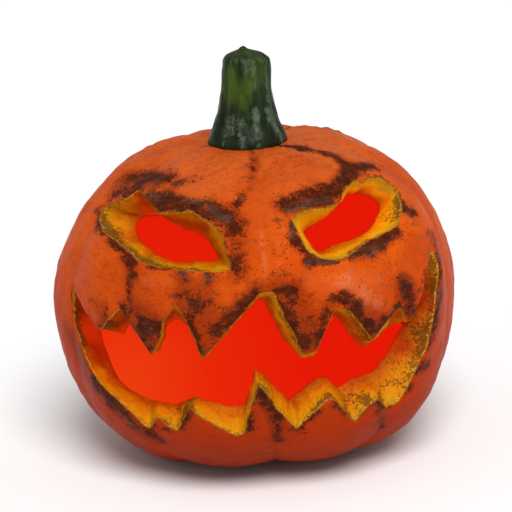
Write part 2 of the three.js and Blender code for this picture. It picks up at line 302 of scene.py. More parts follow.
def nearest(points, loops):
    """Distance from each point to the nearest outline point, worked out in batches."""
    targets = np.vstack(loops)
    squares = [((part[:, None] - targets) ** 2).sum(-1).min(1) for part in np.array_split(points, 60)]
    return np.sqrt(np.concatenate(squares))


# %% A grid with holes
def fill_between(flat, edges, holes):
    """Constrained Delaunay triangles of flat points: none in a hole, all turned the same way."""
    found = delaunay_2d_cdt([Vector(p) for p in flat.tolist()], edges, [], 0, 1e-7, False)
    if len(found[0]) != len(flat):
        raise SystemExit("outlines cross each other or the grid")
    triangles = np.array(found[2])
    centre = flat[triangles].mean(1)
    solid = np.ones(len(triangles), bool)
    for loop in holes:
        solid &= ~inside_loop(centre, loop)
    triangles = triangles[solid]
    (ax, ay), (bx, by), (cx, cy) = (flat[triangles[:, k]].T for k in range(3))
    turning = (bx - ax) * (cy - ay) - (by - ay) * (cx - ax)
    triangles[turning > 0] = triangles[turning > 0][:, ::-1]
    return triangles


def surface_with_holes(loops, columns, rows, patch, clearance):
    """Plane points, faces and each loop's indices of a shell surface, in degrees and arc length.

    columns and rows are grid lines; patch is (first column, last column, first row, last row) of
    the part that is triangulated round the holes. The grid closes at the seam and at both poles.
    """
    c0, c1, r0, r1 = patch
    n, m = len(columns), len(rows)
    A, S = np.meshgrid(columns, rows, indexing="ij")
    grid = np.stack([A, S], -1).reshape(-1, 2)
    index = np.arange(n * m).reshape(n, m)
    in_patch = np.zeros((n, m), bool)
    in_patch[c0:c1 + 1, r0:r1 + 1] = True
    border = in_patch.copy()
    border[c0 + 1:c1, r0 + 1:r1] = False
    scale = np.array([DEGREE, 1.0])
    plane_loops = [loop * scale for loop in loops]
    keep = ~in_patch.ravel()
    candidates = np.flatnonzero((in_patch & ~border).ravel())
    spots = grid[candidates] * scale
    free = nearest(spots, plane_loops) > clearance
    for loop in plane_loops:
        free &= ~inside_loop(spots, loop)
    patch_ids = np.r_[np.flatnonzero(border.ravel()), candidates[free]]
    keep[patch_ids] = True
    renumber = np.cumsum(keep) - 1
    points = grid[keep]

    beside = np.roll(index, -1, 0)
    quad = np.stack([index[:, :-1], index[:, 1:], beside[:, 1:], beside[:, :-1]], -1)
    cell_in = np.zeros((n, m - 1), bool)
    cell_in[c0:c1, r0:r1] = True
    faces = renumber[quad[~cell_in]].tolist()

    starts = len(points) + np.cumsum([0] + [len(loop) for loop in loops])
    loop_ids = [np.arange(starts[k], starts[k + 1]) for k in range(len(loops))]
    points = np.vstack([points] + list(loops))
    ids = np.concatenate([renumber[patch_ids]] + loop_ids)
    local = {int(g): k for k, g in enumerate(ids)}
    ring = [index[c0:c1, r0], index[c1, r0:r1], index[c1:c0:-1, r1], index[c0, r1:r0:-1]]
    edges = [
        (local[int(a)], local[int(b)])
        for loop in loop_ids + [renumber[np.concatenate(ring)]]
        for a, b in zip(loop, np.roll(loop, -1))
    ]
    faces += ids[fill_between(points[ids] * scale, edges, plane_loops)].tolist()

    top, bottom = len(points), len(points) + 1
    first, last = renumber[index[:, 0]], renumber[index[:, -1]]
    faces += [[top, int(a), int(b)] for a, b in zip(first, np.roll(first, -1))]
    faces += [[bottom, int(b), int(a)] for a, b in zip(last, np.roll(last, -1))]
    points = np.vstack([points, [0.0, 0.0], [0.0, arc[-1]]])
    return points, faces, loop_ids


# %% Skin
FACE_HEIGHTS = (172, 24)  # the triangulated front lies between these levels, and ends at 80 degrees
SKIN_CLEARANCE = 0.75  # space between an outline and the grid's points
front = np.arange(-92.0, 80.01, 0.8)
columns = np.r_[front, np.arange(82.5, 267.0, 2.5)]
rows = np.arange(2.0, arc[-1] - 1.0, 1.6)
highest, lowest = arc_at(polar_at(FACE_HEIGHTS))
span = np.flatnonzero((rows > highest) & (rows < lowest))
skin_loops = [np.c_[o[:, 0], arc_at(polar_at(o[:, 1]))] for o in outlines]
plane, skin_faces, skin_rims = surface_with_holes(
    skin_loops, columns, rows, (0, len(front) - 1, span[0], span[-1]), SKIN_CLEARANCE
)
edge_gap = nearest(plane * [DEGREE, 1.0], [loop * [DEGREE, 1.0] for loop in skin_loops])
skin_azimuth, skin_polar = turned(plane[:, 0]), polar_of(plane[:, 1])
skin_points = skin(skin_azimuth, skin_polar, edge_gap)
print("skin:", len(skin_points), "points,", len(skin_faces), "faces")

# %% Inside
INNER_HEIGHTS, INNER_CLEARANCE = (173, 30), 1.6  # the same two for the inside
inner_columns = np.arange(-100.0, 259.9, 2.5)
inner_rows = np.arange(3.0, arc[-1] - 2.0, 5.0)
last_front = np.searchsorted(inner_columns, 80.0)
highest, lowest = arc_at(polar_at(INNER_HEIGHTS))
inner_span = np.flatnonzero((inner_rows > highest) & (inner_rows < lowest))
inner_loops = [np.c_[o[:, 2], arc_at(polar_at(o[:, 3]))] for o in outlines]
plane, inner_faces, inner_rims = surface_with_holes(
    inner_loops, inner_columns, inner_rows,
    (0, last_front, inner_span[0], inner_span[-1]), INNER_CLEARANCE,
)
inner_points = pushed(plane[:, 0], polar_of(plane[:, 1]), -WALL)
print("inside:", len(inner_points), "points,", len(inner_faces), "faces")


# %% Cut faces
CUT_ROWS = 15  # rows of points between the rim on the skin and the rim inside


def cut_strip(outer, inner, seed):
    """Points of the rows between two rims: straight cuts, chipped along the strip's own normal."""
    t = np.linspace(0, 1, CUT_ROWS + 2)[1:-1, None, None]
    rows = outer * (1 - t) + inner * t
    along = np.roll(outer, -1, 0) - np.roll(outer, 1, 0)
    normal = np.cross(along, inner - outer)
    normal /= np.linalg.norm(normal, axis=1)[:, None]
    for _ in range(4):
        normal = (np.roll(normal, 1, 0) + normal + np.roll(normal, -1, 0)) / 3
    chip = 0.35 * waves(rows * [1, 1, 1.4], 13, seed) + 0.18 * waves(rows, 5, seed + 1)
    return rows + normal * (chip * np.sin(np.pi * t[..., 0]) ** 0.6)[..., None]


offset = len(skin_points)
points = [skin_points, inner_points]
faces = skin_faces + [[offset + i for i in reversed(face)] for face in inner_faces]
paint = [0] * len(skin_faces) + [2] * len(inner_faces)
depth = [np.zeros(len(skin_points)), np.ones(len(inner_points))]
cut_side = []
count = offset + len(inner_points)
for k, (rim, inner_rim) in enumerate(zip(skin_rims, inner_rims)):
    strip = cut_strip(skin_points[rim], inner_points[inner_rim], 80 + 5 * k)
    own = count + np.arange(CUT_ROWS * len(rim)).reshape(CUT_ROWS, -1)
    ids = np.vstack([rim, own, offset + inner_rim])
    beside = np.roll(ids, -1, 1)
    quads = np.stack([ids[:-1], ids[1:], beside[1:], beside[:-1]], -1)
    faces += quads.reshape(-1, 4).tolist()
    paint += [1] * (CUT_ROWS + 1) * len(rim)
    points.append(strip.reshape(-1, 3))
    share = np.linspace(0, 1, CUT_ROWS + 2)[1:-1]
    depth.append(np.repeat(share, len(rim)))
    share = share[:, None, None]
    cut_side.append((outlines[k][:, :2] * (1 - share) + outlines[k][:, 2:] * share).reshape(-1, 2))
    count += CUT_ROWS * len(rim)
points, depth, cut_side = np.vstack(points), np.concatenate(depth), np.vstack(cut_side).T
print("shell:", len(points), "points,", len(faces), "faces")


# %% Making an object
def build(name, points, faces, attributes, paint=None):
    """A smooth-shaded mesh object in the row frame from millimetre points, with point attributes."""
    mesh = bpy.data.meshes.new(name)
    mesh.from_pydata((np.asarray(points) * 0.001).tolist(), [], faces)
    mesh.polygons.foreach_set("use_smooth", np.ones(len(mesh.polygons), bool))
    if paint is not None:
        mesh.polygons.foreach_set("material_index", np.asarray(paint, np.int32))
    for key, values in attributes.items():
        kept = mesh.attributes.new(key, "FLOAT", "POINT").data
        kept.foreach_set("value", np.asarray(values, np.float32))
    mesh.update()
    ob = bpy.data.objects.new(name, mesh)
    bpy.context.scene.collection.objects.link(ob)
    return ob


# %% [markdown]
# ## Where the brushes went
# The real copy is painted by hand, so its dark strokes are not the same on both sides. They could be
# painted into an image; here each stroke is a short line with a strength and a spread, measured over
# the surface, and their sum is kept on the points, where a material can read it at any distance.

# %% Dark strokes
# Azimuth and height of both ends of each stroke, strength, spread.
SOOT = [
    (-75, 167, -60, 168, 0.9, 5), (-74, 159, -59, 162, 0.8, 4), (-60, 168, -46, 169, 0.85, 4.5),
    (-46, 168, -35, 167, 0.6, 3), (-34, 170, -30, 169, 0.5, 2.5), (-46, 162, -38, 160, 1.0, 3.6),
    (-38, 160, -30, 158, 1.0, 3.2), (-30, 158, -20, 157, 1.0, 2.8), (-20, 157, -13, 153, 1.0, 3.6),
    (-12, 157, -10, 150, 0.6, 3.2), (-9, 148, -9, 136, 0.6, 3.6), (-9, 134, -10, 128, 0.6, 3),
    (-76, 150, -67, 146, 0.9, 3), (-66, 144, -55, 140, 0.8, 1.6), (-54, 140, -44, 132, 0.95, 2.6),
    (-44, 131, -42, 125, 0.9, 2.2), (-43, 125, -43, 117, 0.8, 1.6), (-43, 115, -42, 107, 0.6, 1.8),
    (-25, 128, -24, 125, 0.8, 2.2), (-17, 127, -17, 124, 0.8, 2.2), (-36, 131, -30, 130, 0.6, 1.5),
    (7, 159, 22, 160, 1.0, 3.2), (8, 156, 24, 156.5, 0.9, 1.8), (22, 160, 28, 160, 1.0, 2.5),
    (28, 160, 35, 163.3, 1.0, 2.6), (35, 163.3, 43, 165.5, 1.0, 2.6), (43, 165.5, 52, 166, 1.0, 2.8),
    (52, 166, 58, 163, 0.9, 2.4), (58, 165.5, 66, 166, 0.5, 2.2), (40, 178.2, 42, 176.2, 0.75, 2),
    (42, 176.2, 46, 173.5, 0.8, 2), (46, 173.5, 46, 169, 0.95, 2.4), (46, 168.5, 41, 166, 0.95, 2.4),
    (8.5, 150, 8.5, 142, 0.9, 1.6), (9.5, 141, 12, 131, 0.95, 2), (5, 152, 5, 133, 0.32, 4),
    (12, 131, 19, 129, 0.85, 1.6), (24, 131, 31, 129, 0.7, 2.2), (27, 134, 36, 134, 1.0, 3.2),
    (36, 134, 44, 136, 1.0, 2.8), (51, 148, 56, 141, 1.0, 4), (61, 127, 64, 126, 0.6, 2.5),
    (0, 178.4, -3, 174.5, 0.5, 2.2), (-3, 174.5, -5, 167, 0.4, 2), (-7, 164, -9, 160, 0.65, 1.8),
    (-55, 93, -55, 91.5, 0.8, 1.6),
    (-52, 105, -53, 96, 0.75, 2), (-59, 106, -55, 103, 0.4, 2.5), (-46, 107, -44, 102, 0.95, 2.4),
    (-39, 103, -33, 101, 0.8, 3), (-39, 97, -34, 96, 1.0, 3.6), (-40, 92, -36, 86, 0.9, 2.6),
    (-25, 117, -20, 116, 0.85, 2.6), (-22, 113, -21, 110, 0.8, 2), (-23, 106, -21, 88, 1.0, 2.6),
    (-19, 103, -17, 94, 0.45, 3), (-16, 99, -12, 104, 1.0, 2.8), (-12, 104, -8, 111, 1.0, 2.6),
    (-8, 111, -4, 119, 0.9, 2.4), (-19, 111, -15, 113, 0.5, 2.5), (2, 119, 6, 118, 1.0, 2.8),
    (6, 117, 6, 109, 0.65, 2.6), (2, 112, 5, 102, 0.95, 2), (5, 101, 8, 88, 0.9, 2.6),
    (8, 91, 12, 89, 0.8, 3), (15, 105, 13, 91, 0.85, 2.2), (8, 103, 12, 98, 0.35, 3),
    (17, 111, 20, 112, 0.9, 2.2), (20, 111, 24, 104, 0.95, 2.4), (24, 104, 28, 90, 1.0, 2.6),
    (28, 93, 32, 93, 0.9, 3), (33, 90, 39, 98, 0.75, 2.2), (41, 112, 44, 105, 0.95, 2.6),
    (43, 105, 46, 93, 0.9, 3.2), (41, 98, 43, 93, 0.6, 2.5), (52, 113, 49, 104, 0.5, 2.2),
    (63, 120, 62, 95, 0.75, 3), (61, 92, 57, 84, 0.9, 3), (57, 79, 53, 70, 0.8, 2.6),
    (-69, 68, -60, 59, 0.4, 4), (-60, 56, -54, 50, 1.0, 4), (-54, 51, -54, 46, 0.7, 2.5),
    (-50, 45, -47, 36, 0.9, 3.2), (-43, 35, -40, 29, 1.0, 3), (-39, 39, -34, 39, 0.8, 1.5),
    (-29, 43, -26, 50, 0.95, 2), (-26, 50, -24, 57, 0.9, 1.6), (-6.5, 67, -7, 58, 0.8, 1.4),
    (-5, 66, -3, 58, 1.0, 2), (-3, 58, 0, 48, 0.9, 2.4), (0, 46, 0, 29, 0.9, 2.6),
    (-8, 52, -8, 42, 0.9, 1.8), (5, 39, 8, 35, 0.7, 2), (7, 41, 12, 49, 0.9, 1.8),
    (16, 54, 20, 46, 0.8, 1.6), (23, 44, 28, 49, 0.9, 2.2), (31, 48, 38, 42, 0.85, 2.2),
    (33, 40, 39, 25, 0.8, 2.6), (43, 53, 45, 48, 0.9, 1.8), (46, 58, 53, 59, 0.95, 2.4),
]
SEAM = [(134, 176.4, 124, 170, 0.9, 1.8)]  # paint caught on the flash of the mould
print("dark strokes:", len(SOOT))

# %% Other paints on the skin
ASH = [  # where that dark paint is greyer
    (-46, 162, -40, 161, 1.0, 3), (-19, 157, -13, 153, 1.0, 3), (-30, 159, -20, 158.5, 0.8, 1.6),
    (-25, 128, -17, 126, 0.8, 3), (8, 156, 25, 156.5, 1.0, 1.8), (7, 151, 9, 144, 1.0, 2.4),
    (12, 131, 19, 129, 0.9, 2.4), (26, 130, 38, 129, 0.9, 2.4), (28, 133, 40, 134, 0.4, 3),
    (-23, 113, -21, 110, 0.9, 2), (-50, 42, -47, 34, 0.7, 2.5), (36, 95, 39, 99, 0.7, 2.5),
    (61, 126, 64, 122, 0.8, 3), (-75, 168, -60, 169, 0.5, 3),
]
WORN_AND_SHEEN = [  # paint rubbed pale, and painted highlight, on what stands proud and at the sides
    (-40, 124, -20, 121, 0.5, 5), (12, 122, 20, 118, 0.55, 5), (22, 120, 34, 116, 0.55, 5),
    (26, 108, 32, 102, 0.8, 5), (-1.5, 147, -1, 126, 0.7, 1.6), (3.5, 142, 3, 127, 0.6, 1.4),
    (-31, 160.5, -21, 160, 0.9, 1.4), (12, 157.5, 24, 158, 0.5, 1), (-100, 120, -96, 60, 0.5, 9),
    (84, 125, 84, 60, 0.5, 9), (-58, 100, -56, 97, 0.7, 2.5), (-6, 146, -6, 142, 0.5, 2),
]
WASH = [  # thin red-brown glaze over the teeth and low on the left
    (-77, 78, -65, 62, 1.1, 7), (-62, 120, -14, 122, 0.4, 9), (-56, 100, -54, 95, 0.5, 6),
    (-38, 102, -37, 90, 1.0, 7), (-20, 108, -20, 92, 0.9, 6), (9, 108, 9, 90, 0.9, 7),
    (30, 98, 31, 90, 0.8, 6), (43, 108, 44, 94, 0.7, 6), (-76, 164, -60, 166, 0.8, 7),
    (-4, 122, 6, 120, 0.6, 5), (1, 178, -4, 166, 0.5, 2.6), (-22, 120, -22, 112, 0.5, 6),
    (-9, 154, -8, 132, 0.4, 6), (0, 60, 0, 40, 0.6, 5), (64, 112, 60, 84, 0.7, 6),
    (-48, 44, -42, 30, 0.6, 6),
]
print("grey, rubbed and glazed places:", len(ASH), len(WORN_AND_SHEEN), len(WASH))

# %% Paints on the cut faces
# Azimuth and height at the cut's own depth. The attribute for the painted light is not called heat,
# because the renderer keeps the name heat for flames.
DIRT_AND_SHADE = [  # where dark paint sits, and painted shade on walls of the upper teeth that face down
    (-72, 148, -60, 143, 0.6, 4), (-60, 143, -40, 133, 0.6, 4), (-40, 132, -20, 129, 0.5, 2.5),
    (-35, 43, -29, 48, 0.6, 2.6), (-29, 47, -25, 55, 0.7, 2), (21, 46, 29, 50, 0.8, 2.2),
    (-75, 92, -70, 78, 0.6, 3), (44, 60, 54, 76, 0.55, 4), (53, 76, 60, 98, 0.35, 3),
    (48, 84, 53, 92, 0.3, 3), (12, 50, 16, 56, 0.7, 2), (26, 132, 36, 136, 0.7, 2),
    # (24, 104, 30, 84) here and (-24, 106, -21, 86) and (4, 104, 9, 84) below darken walls of the upper
    # teeth that face down: painted shade.
    (50, 144, 56, 150, 0.6, 2), (-56, 92, -52, 94, 0.8, 3), (24, 104, 30, 84, 0.8, 3),
    (62, 118, 60, 100, 0.35, 3), (-24, 106, -21, 86, 0.6, 3), (4, 104, 9, 84, 0.4, 3),
    (-46, 104, -40, 92, 0.6, 2.5), (34, 46, 42, 52, 0.7, 2.2), (-4, 68, 2, 60, 0.6, 2.5),
]
PAINTED_GLOW = [  # painted light: where the red light of the inside reaches, and below 0 where the wall stays yellow and gives off its own yellow to lift its shade
    (14, 152, 42, 160, -0.5, 4), (44, 162, 58, 158, -1.0, 6),
    (10, 152, 14, 134, -0.9, 3), (18, 131, 40, 138, -0.5, 3), (42, 139, 56, 150, -0.6, 4),
    (-58, 162, -44, 158, 1.0, 6), (-36, 158, -20, 152, 0.6, 4), (-78, 104, -74, 84, 1.3, 9),
    (-73, 80, -66, 68, 0.8, 7), (-56, 92, -48, 102, 0.8, 7), (-31, 108, -28, 104, 0.9, 5),
    (40, 92, 44, 96, 0.8, 5), (0, 116, 8, 84, 0.4, 5), (20, 106, 30, 84, 0.5, 5),
    (62, 120, 58, 96, 0.75, 6), (58, 96, 50, 70, 0.6, 7), (48, 66, 42, 52, 0.25, 5),
    (20, 60, 34, 58, 0.4, 4), (-38, 84, -32, 104, 0.4, 4), (-22, 86, -10, 108, 0.4, 4),
]
print("dark and warm places on the cut faces:", len(DIRT_AND_SHADE), len(PAINTED_GLOW))


# %% The painted shell
RIM_WIDTH, GROOVE_WIDTH = 0.8, 0.13  # of the worn rim in mm, and of a dark groove as a share of a lobe


def strokes(lines, azimuth, height, widen=1.0):
    """Paint laid along short lines, as the sum of along_lines' soft bands, with arc lengths down the
    profile in place of heights, so that a band keeps its width where the shell turns over."""
    lines = np.array(lines, float)
    lines[:, [1, 3]] = arc_at(polar_at(lines[:, [1, 3]]))
    lines[:, 5] *= widen
    polar = polar_at(height)
    return along_lines(lines, azimuth, smooth_shell(polar)[0], arc_at(polar))


skin_height = WIDEST_HEIGHT + smooth_shell(skin_polar)[1]
soot, ash, worn_and_sheen, seam, wash = (
    strokes(lines, skin_azimuth, skin_height) for lines in (SOOT, ASH, WORN_AND_SHEEN, SEAM, WASH))
wash = strokes(SOOT, skin_azimuth, skin_height, 1.4) + wash
near = np.exp(-((edge_gap / 1.8) ** 2)) * (0.3 + 0.25 * waves(skin_points, 22, 5))
groove = np.exp(-((lobe(skin_azimuth) / GROOVE_WIDTH) ** 2)) * (0.28 + 0.22 * waves(skin_points, 40, 6))
groove *= np.clip(np.abs(skin_azimuth) / 20 - 3, 0, 1)  # on the face SOOT has its own strokes for this
bare = np.zeros(len(points) - len(skin_points))
cut_azimuth, cut_height = (np.r_[np.zeros(len(points) - len(side)), side] for side in cut_side)
# The pale rubbed places also hold painted highlights, the dark places on the cut faces also hold
# painted shade, and the cut faces' warm places are painted light of the lamp inside.
paints = {
    "soot": np.r_[np.clip(soot + near + np.maximum(groove, 0) + seam, 0, 1.15), bare],
    "wash": np.r_[wash, bare],
    "ash": np.r_[ash, bare],
    "worn_and_sheen": np.r_[worn_and_sheen, bare],
    "rim": np.r_[np.exp(-((edge_gap / RIM_WIDTH) ** 2)), bare],
    "dirt_and_shade": strokes(DIRT_AND_SHADE, cut_azimuth, cut_height),
    "painted_glow": strokes(PAINTED_GLOW, cut_azimuth, cut_height),
    "depth": depth,
}
shell = build("pumpkin_shell", points, faces, paints, paint)
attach(shell, "root")
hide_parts("body")
covered = float((paints["soot"] > 0.5).sum() / len(skin_points))
print("dark paint covers", round(100 * covered), "% of the skin's points")

# %% [markdown]
# ## The stem
# The stem is its own casting, glued into the hollow of the crown: a fluted bell with a low cap
# whose tip sits off centre. Turning a profile would lose the flutes, so its radius is worked out
# for every azimuth and height at once, and its foot follows the crown a hair above it.

# %% Stem profile
STEM = np.array([  # height above the floor, mean radius, flute depth
    (174.2, 21.4, 0), (175.2, 22.2, 0), (176.8, 22.2, 0.0), (179.2, 21.5, 0.1), (181.5, 20.5, 0.25),
    (184, 19.3, 0.4), (186.3, 18.2, 0.5), (188.6, 17.3, 0.5), (193.3, 16.0, 0.5), (198, 15.0, 0.5),
    (203, 14.1, 0.5), (208, 13.6, 0.5), (217, 13.1, 0.5), (221, 12.9, 0.5), (223, 12.0, 0.5),
    (224.4, 10.3, 0.4), (225.6, 8.0, 0.4), (226.6, 5.2, 0.2), (227.6, 2.5, 0.1), (228.8, 1.4, 0.0),
])
FLUTES, CREST = 12, -11.0  # how many, and the azimuth of the first one's crest
SHIFT, LEAN = -1.2, 2.0  # the foot's place along X, and how far the top leans from there
TIP = (-1.5, 229.4)  # the tip's own shift, and its height
TIP_BEND = (222, 6)  # height where that shift begins, and over how much height it comes
FOOT = 168.0  # height that the lean is counted from
PIT = (4, 20, 223.5, 1.8, 1.3)  # in the cap: azimuth and spread, height and spread, depth
SEAT_GAP = 0.35  # space between the foot and the crown
CROWN = 1400  # samples of the profile that belong to the crown
stem_azimuth = np.arange(0, 360, 1.5)
run = np.r_[0, np.cumsum(np.hypot(np.diff(STEM[:, 0]), np.diff(STEM[:, 1])))]
steps = np.linspace(0, run[-1], 110)
height, radius, flute = (np.interp(steps, run, STEM[:, k]) for k in range(3))
for _ in range(3):
    for line in (height, radius, flute):
        line[1:-1] = (line[:-2] + 2 * line[1:-1] + line[2:]) / 4
print("stem profile:", len(steps), "rows,", round(run[-1]), "mm long")

# %% Stem surface
# Radius from azimuth and height: the profile's, plus rounded cosine flutes, waves and a pit. The
# centre drifts along X with the lean, a power of the height, and with the tip's own shift.
A, H = np.meshgrid(stem_azimuth, height)
crest = np.abs(np.cos(np.radians(FLUTES / 2 * (A - CREST)))) ** 0.8
R = radius[:, None] + 2 * flute[:, None] * (crest - 0.6)
drift = SHIFT + LEAN * ((H - FOOT) / (TIP[1] - FOOT)) ** 1.5
drift = drift + TIP[0] * np.clip((H - TIP_BEND[0]) / TIP_BEND[1], 0, 1)
bell = np.stack([R * np.sin(np.radians(A)), -R * np.cos(np.radians(A)), H], -1)
lumps = 0.22 * waves(bell * [1, 1, 0.4], 8, 11) + 0.08 * waves(bell * [1, 1, 0.5], 3, 12)
R = R + np.minimum(R / 12, 1) * np.clip((H - 174) / 12, 0.2, 1) * lumps
pit = np.exp(-((turned(A - PIT[0]) / PIT[1]) ** 2) - ((H - PIT[2]) / PIT[3]) ** 2)
R = R - PIT[4] * pit
bell = np.stack([drift + R * np.sin(np.radians(A)), -R * np.cos(np.radians(A)), H], -1)
seat_r = np.linspace(0.97, 0.1, 12)[:, None] * R[0]
crown_polar = np.interp(seat_r, fine_r[:CROWN], fine[:CROWN])
seat = skin(np.broadcast_to(A[0], seat_r.shape), crown_polar)
seat[..., 0] += drift[0]
seat[..., 2] += SEAT_GAP
rings = np.concatenate([seat[::-1], bell])

n = len(stem_azimuth)
ids = np.arange(len(rings) * n).reshape(-1, n)
beside = np.roll(ids, -1, 1)
stem_faces = np.stack([ids[:-1], beside[:-1], beside[1:], ids[1:]], -1).reshape(-1, 4).tolist()
low, tip = len(rings) * n, len(rings) * n + 1
stem_faces += [[low, int(b), int(a)] for a, b in zip(ids[0], np.roll(ids[0], -1))]
stem_faces += [[tip, int(a), int(b)] for a, b in zip(ids[-1], np.roll(ids[-1], -1))]
stem_points = np.vstack([rings.reshape(-1, 3), seat[-1].mean(0), [SHIFT + LEAN + TIP[0], 0, TIP[1]]])
print("stem:", len(stem_points), "points,", len(stem_faces), "faces")

# %% The painted stem
PAINTED_SHEEN = [  # painted highlights as pale patches on the gloss: azimuth and height of both ends, strength, spread
    (-41, 190, -40, 180, 0.7, 3), (-15, 191, -15, 186, 0.7, 3), (-11, 180, -11, 177, 0.8, 2.2),
    (14, 196, 14, 193, 0.9, 1.8), (14, 190, 14, 186, 0.9, 1.8), (13, 181, 13, 176, 0.8, 2),
    (12, 222, 15, 207, 0.65, 2), (-9, 223, -6, 217, 0.6, 1.6), (46, 222, 48, 200, 0.65, 1),
    (47, 194, 55, 178, 1.0, 2.4), (-41, 223, -41, 217, 0.6, 1.4), (-2, 212, 4, 204, 0.4, 1.4),
    (100, 200, 104, 182, 0.7, 2.6), (-100, 215, -98, 184, 0.6, 2.2), (-140, 190, -138, 178, 0.8, 2.6),
    (165, 214, 168, 198, 0.7, 2.2), (150, 190, 152, 180, 0.8, 2.4), (-165, 222, -163, 206, 0.6, 1.6),
]
MOSS = [  # yellower green
    (-41, 218, -41, 202, 0.9, 1.6), (-60, 214, 0, 212, 0.4, 5), (28, 225, 36, 212, 0.55, 4),
    (-15, 206, -12, 196, 0.4, 5), (130, 218, 132, 200, 0.7, 3), (-120, 220, -118, 206, 0.6, 3),
    (-170, 206, 175, 200, 0.5, 5),
]
painted_sheen, moss = (along_lines(np.array(lines, float), A, R, H) for lines in (PAINTED_SHEEN, MOSS))
no_seat = np.zeros(seat.shape[0] * n)
stem = build("pumpkin_stem", stem_points, stem_faces, {
    "painted_sheen": np.r_[no_seat, painted_sheen.ravel(), 0, 0], "moss": np.r_[no_seat, moss.ravel(), 0, 0],
})
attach(stem, "root")
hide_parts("stem")
print("rubbed and mossy places:", len(PAINTED_SHEEN), len(MOSS))

# %% [markdown]
# ## Paint
# The copy is sprayed orange and then worked over by hand: dark paint dragged almost dry over the
# brows and teeth, so that it catches on the texture and breaks into specks. Image textures would
# fix that at one resolution; noise fields broken by the same thresholds stay sharp at any distance.

# %% Adding a node
MM = 1000  # a pattern of s millimetres has a Scale of MM / s, because Object coordinates are metres
SMOOTH = {"interpolation_type": "SMOOTHSTEP"}
TIMES_PLUS = {"operation": "MULTIPLY_ADD"}  # socket 0 times socket 1 plus socket 2
MIX = {"out": 2, "data_type": "RGBA"}


def linear(code):
    """Scene-linear colour of an sRGB hex code."""
    c = np.array([int(code[i:i + 2], 16) for i in (1, 3, 5)]) / 255
    return (*np.where(c <= 0.04045, c / 12.92, ((c + 0.055) / 1.055) ** 2.4), 1.0)


def add(tree, kind, inputs=(), out=0, stops=(), **settings):
    """One shader node: takes its settings and ramp stops, links or fills its sockets, and gives
    back one of its outputs."""
    node = tree.nodes.new("ShaderNode" + kind)
    for key, value in settings.items():
        setattr(node, key, value)
    for _ in stops[2:]:
        node.color_ramp.elements.new(1.0)
    for k, (place, code) in enumerate(stops):
        stop = node.color_ramp.elements[k]
        stop.position, stop.color = place, linear(code)
    for key, value in dict(inputs).items():
        if isinstance(value, bpy.types.NodeSocket):
            tree.links.new(value, node.inputs[key])
        else:
            node.inputs[key].default_value = value
    return node.outputs[out] if len(node.outputs) else None


def painted(name, paint):
    """A new material whose surface is the shader that paint builds in its empty tree."""
    mat = bpy.data.materials.new(name)
    mat.use_nodes = True
    tree = mat.node_tree
    tree.nodes.clear()
    add(tree, "OutputMaterial", {"Surface": paint(tree)})
    print(name, "has", len(tree.nodes), "nodes")
    return mat


def layer(tree, color, over, amount, low, high, most=1.0, noise=None, gain=1.0):
    """A colour with another paint over it, which comes in from nothing to its most, on a smooth
    step, as its amount plus gain times a noise goes from low to high."""
    if noise is not None:
        amount = add(tree, "Math", {0: noise, 1: gain, 2: amount}, **TIMES_PLUS)
    amount = add(tree, "MapRange", {
        "Value": amount, "From Min": low, "From Max": high, "To Max": most}, **SMOOTH)
    over = linear(over) if isinstance(over, str) else over
    return add(tree, "Mix", {0: amount, 6: color, 7: over}, **MIX)


print("scene-linear mid grey:", round(linear("#808080")[0], 3))
